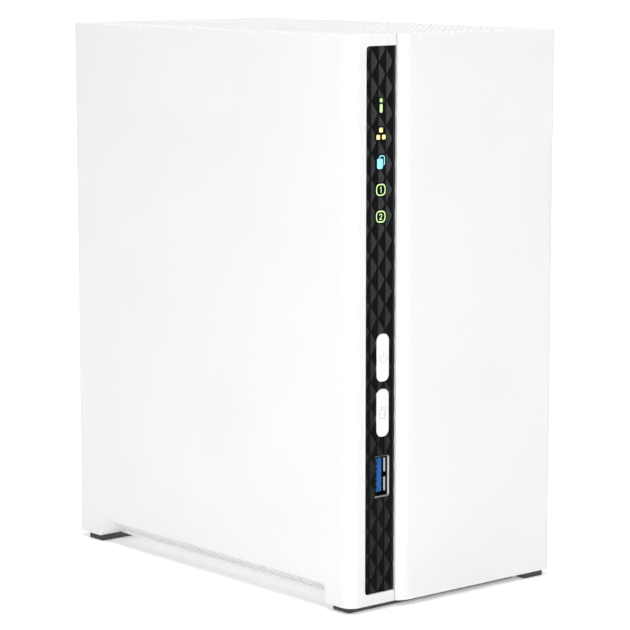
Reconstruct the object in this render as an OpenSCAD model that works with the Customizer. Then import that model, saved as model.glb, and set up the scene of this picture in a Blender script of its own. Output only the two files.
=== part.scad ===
// Two-bay network attached storage in an upright desktop case.
// The left case half carries everything; the right cover slides forward off it.
// Origin: on the floor under the middle of the object.
// X to the right seen from the front, Y to the rear, Z up.

/* [Overall size] */
// Width across both side faces
body_w = 90.18; // [89.8:0.01:91]
// Depth from the cover's front face to the rear screw heads
body_d = 156.26; // [156:0.01:158]
// Height from the floor to the top
body_h = 188.64; // [188:0.01:192]
// Height of the rubber feet
foot_h = 2; // [1.5:0.1:2.4]

/* [Shells] */
// Thickness of the moulded walls
wall = 2.2; // [2:0.1:2.3]
// Middle of the seam between case and cover, on the front and the top
seam_x = -25.4; // [-25.6:0.1:-25.3]
// Width of the seam
seam_gap = 0.5; // [0.3:0.1:0.6]
// How far the cover's front stands ahead of the case's front
cover_proud = 2.1; // [1.8:0.1:2.2]
// Radius of the case's front left corner
case_corner_r = 4; // [2:0.5:5]
// Radius of the cover's left front edge
cover_edge_r = 6; // [5:0.5:7]
// Radius of the cover's right front corner
cover_corner_r = 2; // [1:0.5:4]
// Radius of the rear corners
rear_corner_r = 1.5; // [1:0.5:3]
// Radius of the top edges
top_edge_r = 0.6; // [0.3:0.1:1]

/* [Top ribs] */
// Distance from one diagonal groove to the next
rib_pitch = 2; // [1.6:0.1:3]
// Width of a groove at the surface
groove_w = 0.9; // [0.5:0.1:1.2]
// Depth of a groove
groove_d = 0.45; // [0.2:0.05:0.6]

/* [Side vents] */
// Height of the cut-out's upper edge above the floor
vent_top_z = 8.4; // [7:0.1:9]
// Distance from one slot to the next
vent_pitch = 2; // [1.8:0.1:3]
// Width of a slot
vent_w = 1; // [0.6:0.1:1.2]
// Number of slots on each side
vent_count = 60; // [10:1:60]

/* [Front strip] */
// Left edge of the strip
strip_x0 = -38.4; // [-39:0.1:-38]
// Lower edge of the strip
strip_z0 = 5.65; // [5:0.05:7]
// Distance from the strip's upper edge to the top
strip_top = 3.74; // [3:0.02:5]
// Depth of the strip's face behind the case's front
strip_recess = 0.5; // [0.3:0.1:0.8]

/* [Controls] */
// Middle of the symbols
control_x = -31.65; // [-31.8:0.05:-31.5]
// Middle of the buttons
button_x = -30.4; // [-30.8:0.05:-30.3]
// Button width
button_w = 5.25; // [5:0.05:5.6]
// Button height
button_h = 15.8; // [15:0.05:16]
// Button corner radius
button_r = 2.2; // [1:0.1:2.4]
// How far a button stands ahead of the strip
button_proud = 0.1; // [0.1:0.05:0.6]
// Travel of a button
button_travel = 0.5; // [0.2:0.1:0.6]
// Middle of the power button
power_z = 83.8; // [83.8:0.05:84.5]
// Middle of the copy button
copy_z = 65.6; // [65:0.05:65.6]
// Middle of the front USB socket
usb_front_z = 44.5; // [44:0.1:45]

/* [Indicators] */
// Middle of the topmost symbol
indicator_top_z = 165.9; // [164:0.1:166]
// Thickness of the inlaid symbols
inlay_t = 0.6; // [0.4:0.1:0.8]

/* [Drives] */
// Length of a drive
drive_l = 147; // [146:0.1:147]
// Width of a drive
drive_w = 101.6; // [101:0.1:101.6]
// Thickness of a drive
drive_t = 26.1; // [20:0.1:26.1]
// Lower end of the drives
drive_z = 27.3; // [27:0.1:27.4]

/* [Fan] */
// Width and height of the fan
fan_w = 60; // [60:1:60]
// Depth of the fan
fan_d = 25; // [25:1:25]
// Middle of the fan, from the origin to the right
fan_x = 10; // [9:0.5:10]
// Middle of the fan, above the floor
fan_z = 120; // [110:1:124]
// Number of fan blades
blade_count = 7; // [5:1:9]

/* [Hidden] */
$fn = 64;
eps = 0.01;

half_w = body_w / 2;
front_y = -body_d / 2;
screw_proud = 2.26;
rear_y = body_d / 2 - screw_proud;
case_front_y = front_y + cover_proud;
case_x1 = seam_x - seam_gap / 2;
cover_x0 = seam_x + seam_gap / 2;
inner_x = half_w - wall;
inner_top = body_h - wall;
base_t = 2;
base_z = foot_h + base_t;
base_x1 = 32;
flange_x0 = base_x1 + 0.4;

// The cut-out low on each side and the sloped vent wall behind it
vent_foot_x = half_w - 9.09;
vent_top_x = half_w - 3.69;
vent_wall_t = 1.8;
cutout_y0 = front_y + 14.15;
cutout_y1 = rear_y - 12.8;
vent_angle = atan2(vent_top_x - vent_foot_x, vent_top_z - foot_h);

// The strip: a face in the case's window and a wider plate behind the case's front wall
strip_z1 = body_h - strip_top;
strip_y = case_front_y + strip_recess;
plate_y0 = case_front_y + wall;
plate_y1 = plate_y0 + 1.5;
plate_x0 = strip_x0 - 3;
lip_x1 = cover_x0 + 2.55;
lip_y1 = plate_y0 - 0.17;

// The rear panel closes the case and the cover
panel_y1 = rear_y - 0.27;
panel_y0 = panel_y1 - 2.2;

// The boards: the main board stands along the left wall, the front board behind the strip
board_t = 1.6;
board_x0 = -28;
board_x1 = board_x0 + board_t;
board_z0 = 10;
board_z1 = 118;
board_front = plate_y1 + 0.33;
board_rear = panel_y0 - 0.8;
board_step_z = 54.5;
frontboard_y0 = plate_y1 + 5.73;
frontboard_y1 = frontboard_y0 + board_t;
frontboard_z0 = 56;
frontboard_z1 = 170;
board_hole_z = [30, 110];

// The drives stand side by side in a sheet steel cage, connectors down
sheet_t = 1;
drive_y0 = -63.9;
drive_gap = 0.6;
drive_x = [-19.9, 11.6];
drive_hole_z = [28.5, 130.1];
drive_hole_x = 6.35;
cage_x0 = -22.4;
cage_x1 = 40.6;
cage_z0 = 21;
cage_z1 = 176;
cage_y0 = drive_y0 - drive_gap - sheet_t;
cage_y1 = drive_y0 + drive_w + drive_gap + sheet_t;
cage_foot_z = 8;
cage_foot_x = [-15, 25];
backplane_z0 = 16;
backplane_x1 = 34;
backplane_y = [-52, 24];
sata_y = drive_y0 + 33;
sata_w = 40;

// Fan
fan_y1 = panel_y0;
fan_y0 = fan_y1 - fan_d;
fan_hole = 25;
fan_hole_r = 2.15;
duct_r = 28.6;
hub_r = 12.5;
shaft_r = 1.5;
running_gap = 0.03;

// Screws
cover_screw_at = [[38.6, 13], [38.6, 181], [-15, 181]];
cover_screw_r = 1.45;
panel_screw_at = [[-38.9, 13], [-38.9, 178]];

// Sockets at the rear, up the main board's edge
dc_z = 24;
dc_x = board_x0 - 5.6;
lan_z = 43;
usb_rear_z = [62, 79.5];
reset_z = 94;
reset_x = board_x0 - 3;
lock_at = [-12, 58];

// ---------- shared shapes ----------

// Box between its lowest and its highest corner
module block(lo, hi) {
    translate(lo) cube(hi - lo);
}

// Rectangle from p0 to p1 with corner radii in the order low left, low right, high right, high left
module cornered_rect(p0, p1, radii) {
    corners = [p0, [p1.x, p0.y], p1, [p0.x, p1.y]];
    inward = [[1, 1], [-1, 1], [-1, -1], [1, -1]];
    difference() {
        translate(p0) square(p1 - p0);
        for (i = [0:3]) if (radii[i] > 0) translate(corners[i]) difference() {
            square(2 * radii[i], center = true);
            translate(inward[i] * radii[i]) circle(radii[i]);
        }
    }
}

// Rectangle around a middle point with one corner radius
module pill(middle, size, r) {
    cornered_rect(middle - size / 2, middle + size / 2, [r, r, r, r]);
}

// Shape drawn in X and Z, extruded along Y
module along_y(y0, y1) {
    translate([0, y1, 0]) rotate([90, 0, 0]) linear_extrude(y1 - y0) children();
}

// Shape drawn in Y and Z, extruded along X
module along_x(x0, x1) {
    translate([x0, 0, 0]) rotate([90, 0, 90]) linear_extrude(x1 - x0) children();
}

// Cylinder along Y
module cyl_y(x, z, r, y0, y1) {
    translate([x, y0, z]) rotate([-90, 0, 0]) cylinder(h = y1 - y0, r = r);
}

// Cylinder along X
module cyl_x(y, z, r, x0, x1) {
    translate([x0, y, z]) rotate([0, 90, 0]) cylinder(h = x1 - x0, r = r);
}

// Screw with its head on top of z = 0 and its shank below, with a cross recess
module screw(head_r, head_h, shank_r, shank_l) {
    recess_w = head_r * 0.28;
    difference() {
        union() {
            cylinder(h = head_h, r = head_r);
            translate([0, 0, -shank_l]) cylinder(h = shank_l + head_h / 2, r = shank_r);
        }
        for (turn = [0, 90]) rotate(turn)
            translate([-head_r * 0.6, -recess_w / 2, head_h * 0.45]) cube([head_r * 1.2, recess_w, head_h]);
    }
}

// Round rod from one point to another
module rod(from, to, r) {
    run = to - from;
    translate(from) rotate([0, acos(run.z / norm(run)), atan2(run.y, run.x)]) cylinder(h = norm(run), r = r);
}

// ---------- shells ----------

// Depth of the vent wall's outer face at a height, measured from the middle
function slope_x(z) = vent_foot_x + (vent_top_x - vent_foot_x) * (z - foot_h) / (vent_top_z - foot_h);

// The same for its inner face
function slope_in_x(z) = slope_x(z) - vent_wall_t / cos(vent_angle);

// Inner outline of one side, drawn for the right: from x_min out to the side wall
module side_cavity(x_min, z_min) {
    shelf_z = vent_top_z + vent_wall_t;
    polygon([[x_min, z_min], [slope_in_x(z_min), z_min], [slope_in_x(shelf_z), shelf_z], [inner_x, shelf_z],
             [inner_x, inner_top], [x_min, inner_top]]);
}

// Outline that fits inside case and cover with a small gap
module inside_outline() {
    gap = 0.15;
    shelf_z = vent_top_z + vent_wall_t + gap;
    right = [[slope_in_x(base_z + gap) - gap / cos(vent_angle), base_z + gap],
             [slope_in_x(shelf_z) - gap / cos(vent_angle), shelf_z],
             [inner_x - gap, shelf_z], [inner_x - gap, inner_top - gap]];
    polygon(concat(right, [for (i = [len(right) - 1:-1:0]) [-right[i].x, right[i].y]]));
}

// Space outside the vent wall, on the right
module side_cutout() {
    far_x = half_w + 1;
    intersection() {
        along_x(vent_foot_x - 4, far_x + 1)
            cornered_rect([cutout_y0, -5], [cutout_y1, vent_top_z], [0, 0, 0.8, 2.5]);
        along_y(cutout_y0 - 1, cutout_y1 + 1)
            polygon([[slope_x(-1), -1], [far_x, -1], [far_x, 20], [slope_x(20), 20]]);
    }
}

// Intake slots through the vent wall, on the right
module vent_slots() {
    mid_z = (foot_h + vent_top_z) / 2 + 0.3;
    mid_y = (cutout_y0 + cutout_y1) / 2;
    for (i = [0:vent_count - 1])
        translate([slope_x(mid_z), mid_y + (i - (vent_count - 1) / 2) * vent_pitch, mid_z])
            rotate([0, vent_angle, 0]) cube([5.5, vent_w, 6.4], center = true);
}

// Diagonal grooves across the whole top, as one toothed cutter
module top_grooves() {
    n = floor((half_w + body_d / 2) / sqrt(2) / rib_pitch);
    lift = 0.05;
    tooth = groove_w / 2 * (1 + lift / groove_d);
    span = (n + 1) * rib_pitch;
    teeth = [for (i = [-n:n]) each
        [[i * rib_pitch - tooth, lift], [i * rib_pitch, -groove_d], [i * rib_pitch + tooth, lift]]];
    translate([0, 0, body_h]) rotate([0, 0, 45]) along_x(-body_d, body_d)
        polygon(concat([[-span, 2], [-span, lift]], teeth, [[span, lift], [span, 2]]));
}

// Side view of a shell with rounded top edges
module shell_side(y0, y1) {
    cornered_rect([y0, foot_h - 1], [y1, body_h], [0, 0, top_edge_r, top_edge_r]);
}

module left_case() color("white") {
    difference() {
        union() {
            intersection() {
                translate([0, 0, foot_h]) linear_extrude(body_h - foot_h)
                    cornered_rect([-half_w, case_front_y], [case_x1, rear_y],
                                  [case_corner_r, 0, 0, rear_corner_r]);
                along_x(-half_w - 1, case_x1 + 1) shell_side(case_front_y, rear_y);
                along_y(case_front_y - 1, rear_y + 1)
                    cornered_rect([-half_w, foot_h - 1], [case_x1 + 1, body_h], [0, 0, 0, top_edge_r]);
            }
            block([case_x1 - 1, lip_y1 + 0.2, foot_h], [base_x1, panel_y0 - 0.4, base_z]);
        }
        mirror([1, 0, 0]) {
            along_y(plate_y0, rear_y + 1) side_cavity(-case_x1 - 3, base_z);
            side_cutout();
            vent_slots();
        }
        along_y(case_front_y - 1, plate_y0 + 1)
            cornered_rect([strip_x0, strip_z0], [case_x1 + 1, strip_z1], [1.2, 0, 0, 1.2]);
        top_grooves();
        base_intake();
    }
    // Ledge that the cover's top edge rests over
    ledge_z0 = inner_top - 1.84;
    block([case_x1 - 0.5, plate_y1 + 0.3, ledge_z0], [case_x1 + 3.1, panel_y0 - 0.1, inner_top - 0.14]);
    block([case_x1 - 2.5, plate_y1 + 0.3, ledge_z0], [case_x1, panel_y0 - 0.1, inner_top + 0.2]);
    for (at = panel_screw_at) screw_boss(at.x - 4.2, at.x + 3.5, at.y, 1.25, panel_y0);
    for (x = cage_foot_x, y = [cage_y0 - 4, cage_y1 + 4]) standoff(x, y, 4, 1.25, cage_foot_z);
    for (at = backplane_hole) standoff(at.x, at.y, 3, 1.05, backplane_z0);
}

// Rows of intake slots in the base, under the drives
module base_intake() {
    for (row = [-1:1], i = [-9:9])
        block([i * 2.8 + 2 - 0.7, row * 34 - 12, foot_h - 1], [i * 2.8 + 2 + 0.7, row * 34 + 4, base_z + 1]);
}

// Post on the base with a blind screw hole from above
module standoff(x, y, r, hole_r, top_z) {
    translate([x, y, 0]) difference() {
        translate([0, 0, base_z - eps]) cylinder(h = top_z - base_z + eps, r = r);
        translate([0, 0, top_z - 3.5]) cylinder(h = 4, r = hole_r);
    }
}

// Block for a screw that comes from the rear, with a blind hole; the screw stands at z
module screw_boss(x0, x1, z, hole_r, y1) {
    x = x0 < 0 && x1 < 0 ? x1 - 3.5 : (x0 + x1) / 2;
    difference() {
        block([x0, y1 - 9, z - 3.5], [x1, y1, z + 3.5]);
        cyl_y(x, z, hole_r, y1 - 8, y1 + 1);
    }
}

module right_cover() color("white") {
    boss_y1 = panel_y0 - 0.2;
    difference() {
        intersection() {
            translate([0, 0, foot_h]) linear_extrude(body_h - foot_h) intersection() {
                cornered_rect([cover_x0 - 1.45, front_y], [half_w, rear_y],
                              [cover_edge_r, cover_corner_r, rear_corner_r, 0]);
                translate([cover_x0, front_y - 1]) square([body_w, body_d]);
            }
            along_x(cover_x0 - 1, half_w + 1) shell_side(front_y, rear_y);
            along_y(front_y - 1, rear_y + 1)
                cornered_rect([cover_x0 - 1, foot_h - 1], [half_w, body_h], [0, 0, top_edge_r, 0]);
        }
        along_y(front_y + wall, rear_y + 1) union() {
            side_cavity(lip_x1, base_z);
            translate([lip_x1, -1]) square([flange_x0 - lip_x1, base_z]);
            translate([lip_x1, base_z - 1.5]) square([flange_x0 - lip_x1, 3]);
        }
        block([cover_x0 - 1, lip_y1, -1], [lip_x1 + 1, rear_y + 1, inner_top]);
        side_cutout();
        vent_slots();
        top_grooves();
    }
    for (at = cover_screw_at) difference() {
        outer_x = at.x > 0 ? inner_x + 1 : at.x + 3.5;
        floor_z = at.y > 100 ? inner_top + 1 : at.y + 3.5;
        block([at.x - 3.5, boss_y1 - 9, at.y - 3.5], [outer_x, boss_y1, floor_z]);
        cyl_y(at.x, at.y, cover_screw_r + 0.05, boss_y1 - 8.6, boss_y1 + 1);
    }
}

module rear_panel() color("white") difference() {
    along_y(panel_y0, panel_y1) inside_outline();
    fan_grille();
    for (at = cover_screw_at) cyl_y(at.x, at.y, 1.7, panel_y0 - 1, panel_y1 + 1);
    for (at = panel_screw_at) cyl_y(at.x, at.y, 1.4, panel_y0 - 1, panel_y1 + 1);
    for (dx = [-1, 1], dz = [-1, 1])
        cyl_y(fan_x + dx * fan_hole, fan_z + dz * fan_hole, fan_hole_r + 0.05, panel_y0 - 1, panel_y1 + 1);
    along_y(panel_y0 - 1, panel_y1 + 1) {
        pill([board_x0 - 6.7, lan_z], [13.8, 16.4], 0.4);
        for (z = usb_rear_z) pill([board_x0 - 3.5, z], [7.4, 14.8], 0.4);
        pill([dc_x, dc_z], [11.4, 9.4], 0.2);
        pill(lock_at, [7.2, 3.2], 1);
    }
    cyl_y(reset_x, reset_z, 1.3, panel_y0 - 1, panel_y1 + 1);
    // Exhaust slots beside the drives
    for (i = [0:13]) block([-6 + i * 2.8, panel_y0 - 1, 24], [-6 + i * 2.8 + 1.4, panel_y1 + 1, 44]);
}

// Upright slots inside the fan's circle, with a bar left across the middle
module fan_grille() {
    slot_pitch = 3.7;
    slot_w = 2.4;
    bar = 2;
    for (i = [-7:7], side = [-1, 1]) {
        reach = sqrt(pow(duct_r - 0.8, 2) - pow(i * slot_pitch, 2));
        x = fan_x + i * slot_pitch - slot_w / 2;
        z0 = side > 0 ? fan_z + bar / 2 : fan_z - reach;
        block([x, panel_y0 - 1, z0], [x + slot_w, panel_y1 + 1, z0 + reach - bar / 2]);
    }
}

module rear_panel_screws() color("silver")
    for (at = panel_screw_at) translate([at.x, panel_y1, at.y]) rotate([-90, 0, 0]) screw(2.8, 1.6, 1.2, 9);

module cover_screw(i) color("silver")
    translate([cover_screw_at[i].x, panel_y1, cover_screw_at[i].y]) rotate([-90, 0, 0])
        screw(3.2, body_d / 2 - panel_y1, cover_screw_r, 10.5);

module cover_screw_1() cover_screw(0);
module cover_screw_2() cover_screw(1);
module cover_screw_3() cover_screw(2);

// ---------- front strip and controls ----------

module front_strip() color("#1c1c1e") difference() {
    union() {
        along_y(strip_y, plate_y0 + eps)
            cornered_rect([strip_x0 + 0.05, strip_z0 + 0.05], [seam_x, strip_z1 - 0.05], [1.15, 0, 0, 1.15]);
        along_y(plate_y0, plate_y1) intersection() {
            inside_outline();
            translate([plate_x0, 0]) square([lip_x1 - plate_x0, body_h]);
        }
        for (at = front_post_at) cyl_y(at.x, at.y, 2.2, plate_y1 - eps, frontboard_y0);
    }
    for (z = [power_z, copy_z]) along_y(strip_y - 1, plate_y1 + 1)
        pill([button_x, z], [button_w + 0.4, button_h + 0.4], button_r + 0.2);
    along_y(strip_y - 1, plate_y1 + 1)
        pill([usb_x + (usb_lip.x - usb_half.x) / 2, usb_front_z],
             [usb_half.x + usb_lip.x + 0.3, 2 * usb_lip.y + 0.3], 0.3);
    along_y(strip_y - 1, strip_y + inlay_t) {
        status_symbol();
        lan_symbol();
        copy_symbol();
        drive_symbol(1);
        drive_symbol(2);
    }
    for (at = front_post_at) cyl_y(at.x, at.y, 1.05, frontboard_y0 - 4.5, frontboard_y0 + 1);
}

front_post_at = [[-35.8, 99], [-32.2, 119]];

// How far each symbol's middle lies below the topmost one's
symbol_drop = [0, 9.12, 18.3, 27.23, 35.9];

function symbol_z(i) = indicator_top_z - symbol_drop[i];

// Symbols, drawn in X and Z
module status_symbol() {
    width = 1.15;
    pill([control_x, symbol_z(0) - 1.05], [width, 2.7], 0.3);
    pill([control_x, symbol_z(0) + 1.5], [width, 1.25], 0.3);
}

module lan_symbol() {
    side = 1.52;
    drop = 1.15;
    pill([control_x, symbol_z(1) + drop], [side, side], 0.35);
    for (dx = [-1.2, 1.2]) pill([control_x + dx, symbol_z(1) - drop], [side, side], 0.35);
}

// A sheet of paper in front of the outline of another
module copy_symbol() {
    at = [control_x, symbol_z(2)];
    page = [2.4, 3.35];
    apart = [0.43, 0.5];
    line = [0.36, 0.36];
    gap = [0.3, 0.3];
    pill(at - apart, page, 0.6);
    difference() {
        pill(at + apart, page, 0.7);
        pill(at + apart, page - 2 * line, 0.34);
        pill(at - apart, page + 2 * gap, 0.9);
    }
}

module drive_symbol(number) {
    at = [control_x, symbol_z(2 + number)];
    size = [4.05, 3.85];
    line = [0.42, 0.42];
    difference() {
        pill(at, size, 1.45);
        pill(at, size - 2 * line, 1.05);
    }
    translate(at) digit(number);
}

// The figure 1 or 2 in plain strokes, around the middle
module digit(number) {
    stroke = 0.3;
    half_h = 1;
    r = 0.62;
    if (number == 1) {
        post_x = -0.05;
        flag_w = 0.4;
        translate([post_x, -half_h]) square([stroke, 2 * half_h]);
        polygon([[post_x + eps, half_h], [post_x - flag_w, half_h - flag_w],
                 [post_x - flag_w, half_h - flag_w - stroke], [post_x + eps, half_h - stroke]]);
    } else {
        bowl_z = half_h - r;
        turn_in = [cos(35), -sin(35)];
        foot = [-r + stroke / 2, -half_h + stroke / 2];
        bend = [0, bowl_z] + turn_in * (r - stroke / 2);
        run = (foot - bend) / norm(foot - bend);
        side = [-run.y, run.x] * stroke / 2;
        translate([0, bowl_z]) difference() {
            circle(r);
            circle(r - stroke);
            polygon([[0, 0], [-2 * r, 0], [-2 * r, -2 * r], [0, -2 * r], 2 * r * turn_in]);
        }
        polygon([bend + side, bend - side, foot - side, foot + side]);
        translate([-r, -half_h]) square([2 * r, stroke]);
    }
}

module inlay() {
    along_y(strip_y, strip_y + inlay_t) children();
}

module status_lens() color("#a8f070") inlay() status_symbol();
module lan_lens() color("#f0e060") inlay() lan_symbol();
module copy_lens() color("#60d8f8") inlay() copy_symbol();
module drive_lenses() color("#b8f080") inlay() for (number = [1, 2]) drive_symbol(number);

module light_shroud() color("#202020") difference() {
    along_y(plate_y1, frontboard_y0)
        pill([control_x, (symbol_z(0) + symbol_z(4)) / 2], [7.6, 44.5], 1);
    for (i = [0:4]) along_y(plate_y1 - 1, frontboard_y0 + 1) pill([control_x, symbol_z(i)], [5, 6.2], 0.8);
}

module front_board() color("#1d5c3a") difference() {
    along_y(frontboard_y0, frontboard_y1)
        cornered_rect([-38.6, frontboard_z0], [-24.9, frontboard_z1], [1, 1, 1, 1]);
    for (at = front_post_at) cyl_y(at.x, at.y, 1.3, frontboard_y0 - 1, frontboard_y1 + 1);
}

module indicator_leds() color("#f4f0c8")
    for (i = [0:4])
        block([control_x - 0.8, frontboard_y0 - 1.4, symbol_z(i) - 1.6],
              [control_x + 0.8, frontboard_y0, symbol_z(i) + 1.6]);

switch_h = 3.5;
plunger_h = 1;
plunger_in = 1.2;
plunger_r = 1.7;
flange_y1 = frontboard_y0 - switch_h - plunger_h;

module button_switches() color("#303030")
    for (z = [power_z, copy_z]) difference() {
        block([button_x - 3, frontboard_y0 - switch_h, z - 3], [button_x + 3, frontboard_y0, z + 3]);
        cyl_y(button_x, z, plunger_r + 0.05, frontboard_y0 - switch_h - 1,
              frontboard_y0 - switch_h + plunger_in + button_travel + 0.1);
    }

// Cap with the flange that holds it behind the strip
module button(z) {
    along_y(strip_y - button_proud, plate_y1 + 0.2) pill([button_x, z], [button_w, button_h], button_r);
    along_y(plate_y1 + 0.1, flange_y1) pill([button_x, z], [button_w + 1.2, button_h + 1.2], 2);
}

// The switch's plunger, from the back of the button's flange into the switch
module plunger(z) {
    cyl_y(button_x, z, plunger_r, flange_y1, flange_y1 + plunger_h + plunger_in);
}

module power_button() color("white") button(power_z);
module copy_button() color("white") button(copy_z);
module power_plunger() color("#b02020") plunger(power_z);
module copy_plunger() color("#b02020") plunger(copy_z);

module board_link() color("#e8e0c8")
    block([board_x0 - 5, frontboard_y1, 60], [board_x0, frontboard_y1 + 8, 76]);

// ---------- main board ----------

module main_board() color("#1d5c3a") difference() {
    step_y = frontboard_y1 + 0.6;
    along_x(board_x0, board_x1)
        polygon([[board_front, board_z0], [board_rear, board_z0], [board_rear, board_z1],
                 [step_y, board_z1], [step_y, board_step_z], [board_front, board_step_z]]);
    for (at = board_hole_at) cyl_x(at.x, at.y, 1.3, board_x0 - 1, board_x1 + 1);
}

board_hole_at = [[-56, board_hole_z[0]], [34, 56], [-56, board_hole_z[1]], [34, board_hole_z[1]]];

// The same small screw holds the main board, the front board and the backplane
module board_screw() screw(2.2, 1.3, 1, 4.5);

module board_screws() color("silver") {
    for (at = board_hole_at) translate([board_x0, at.x, at.y]) rotate([0, -90, 0]) board_screw();
    for (at = front_post_at) translate([at.x, frontboard_y1, at.y]) rotate([-90, 0, 0]) board_screw();
    for (at = backplane_hole) translate([at.x, at.y, backplane_z0 + board_t]) board_screw();
}

// Part on the board's left face: middle along the board and above the floor, its size and its thickness
module chip(y, z, size_y, size_z, thick) {
    block([board_x0 - thick, y - size_y / 2, z - size_z / 2], [board_x0, y + size_y / 2, z + size_z / 2]);
}

processor_at = [0, 80];
processor_t = 1.6;
pad_t = 0.5;

module processor() color("#26282c") chip(processor_at.x, processor_at.y, 17, 17, processor_t);

module thermal_pad() color("#b8b8c8") translate([-processor_t, 0, 0])
    chip(processor_at.x, processor_at.y, 15, 15, pad_t);

module heat_sink() color("silver") translate([-processor_t - pad_t, processor_at.x, processor_at.y]) {
    side = 42;
    base = 2;
    height = 9;
    fin_count = 11;
    fin_t = 1.1;
    block([board_x0 - base, -side / 2, -side / 2], [board_x0, side / 2, side / 2]);
    for (i = [0:fin_count - 1]) {
        y = -side / 2 + i * (side - fin_t) / (fin_count - 1);
        block([board_x0 - height, y, -side / 2], [board_x0 - base + eps, y + fin_t, side / 2]);
    }
}

module board_chips() color("#26282c") {
    for (z = [68, 82]) chip(-36, z, 9, 11, 1.1);
    chip(-36, 98, 14, 11.5, 1);
    chip(44, 45, 7, 7, 0.9);
    chip(50, 70, 6, 6, 0.9);
    chip(0, 46, 8, 8, 0.9);
    chip(-44, 26, 5, 5, 0.9);
}

module inductors() color("#4a4a50") for (y = [38, 47], z = [19, 29]) chip(y, z, 7, 7, 4);

module capacitors() color("#c8ccd0") for (z = [18, 26.5, 35]) cyl_x(28, z, 3.15, board_x0 - 8, board_x0);

cell_at = [-18, 32];

module coin_cell_holder() color("#303030") difference() {
    cyl_x(cell_at.x, cell_at.y, 11.2, board_x0 - 4.2, board_x0);
    cyl_x(cell_at.x, cell_at.y, 10.05, board_x0 - 5, board_x0 - 1.2);
    block([board_x0 - 5, cell_at.x - 4, cell_at.y + 5], [board_x0 - 2.8, cell_at.x + 4, cell_at.y + 12]);
}

module coin_cell() color("silver") {
    cyl_x(cell_at.x, cell_at.y, 10, board_x0 - 3.9, board_x0 - 1.2);
    cyl_x(cell_at.x, cell_at.y, 8.8, board_x0 - 4.4, board_x0 - 3.8);
}

// Metal shell of a USB socket that opens along Y towards dir, between two corners in X and Z
module usb_shell(lo, hi, y_mouth, dir) {
    skin = 0.35;
    depth = 14;
    y0 = dir > 0 ? y_mouth - depth : y_mouth;
    y_cut = dir > 0 ? y0 + 0.8 : y0 - 1;
    difference() {
        block([lo.x, y0, lo.y], [hi.x, y0 + depth, hi.y]);
        block([lo.x + skin, y_cut, lo.y + skin], [hi.x - skin, y_cut + depth + 0.2, hi.y - skin]);
    }
}

usb_half = [2.9, 6.8];
usb_lip = [3.4, 6.95];
usb_x = board_x0 - usb_half.x;
usb_rear_half = [3.5, 7.2];

module front_usb_shell() color("silver") {
    middle = [usb_x, usb_front_z];
    usb_shell(middle - usb_half, middle + usb_half, strip_y + 0.05, -1);
    // Lip round the mouth, wider on the right
    difference() {
        block([usb_x - usb_half.x, strip_y + 0.05, usb_front_z - usb_lip.y],
              [usb_x + usb_lip.x, strip_y + 1.1, usb_front_z + usb_lip.y]);
        block([usb_x - usb_half.x + 0.1, strip_y, usb_front_z - usb_half.y + 0.1],
              [usb_x + usb_half.x - 0.1, strip_y + 2, usb_front_z + usb_half.y - 0.1]);
    }
}

module front_usb_tongue() color("#2050c0")
    block([usb_x - 1.7, strip_y + 0.8, usb_front_z - 5.1], [usb_x + 0.6, strip_y + 13.25, usb_front_z + 6]);

module rear_usb_shells() color("silver") for (z = usb_rear_z)
    usb_shell([board_x0 - 7, z - usb_rear_half.y], [board_x0, z + usb_rear_half.y], panel_y1 - 0.1, 1);

module rear_usb_tongues() color("#202020") for (z = usb_rear_z)
    block([board_x0 - 5.9, panel_y1 - 13.3, z - 5.6], [board_x0 - 4, panel_y1 - 1, z + 5.6]);

lan_half = 8;
lan_h = 13.4;

module network_jack() color("silver") difference() {
    block([board_x0 - lan_h, panel_y1 - 21.2, lan_z - lan_half],
          [board_x0, panel_y1 - 0.2, lan_z + lan_half]);
    block([board_x0 - lan_h + 3.4, panel_y1 - 13, lan_z - 5.9], [board_x0 - 3.3, panel_y1 + 1, lan_z + 5.9]);
    block([board_x0 - lan_h + 1.6, panel_y1 - 13, lan_z - 2], [board_x0 - 3.3, panel_y1 + 1, lan_z + 2]);
}

module power_jack() color("#202020") difference() {
    block([board_x0 - 11, panel_y1 - 14, dc_z - 4.5], [board_x0, panel_y1 - 0.1, dc_z + 4.5]);
    cyl_y(dc_x, dc_z, 3.1, panel_y1 - 10, panel_y1 + 1);
}

module power_jack_pin() color("silver") {
    cyl_y(dc_x, dc_z, 1.05, panel_y1 - 10, panel_y1 - 1.6);
    translate([dc_x, panel_y1 - 1.6, dc_z]) sphere(1.05);
}

reset_y0 = board_rear - 6.5;

module reset_switch() color("#303030") difference() {
    block([reset_x - 3, reset_y0, reset_z - 3], [board_x0, reset_y0 + 4, reset_z + 3]);
    cyl_y(reset_x, reset_z, 0.95, reset_y0 + 1.5, reset_y0 + 5);
}

module reset_button() color("#d8d8d8") cyl_y(reset_x, reset_z, 0.9, reset_y0 + 2.2, panel_y1 - 1.4);

// ---------- drives, cage and backplane ----------

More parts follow.
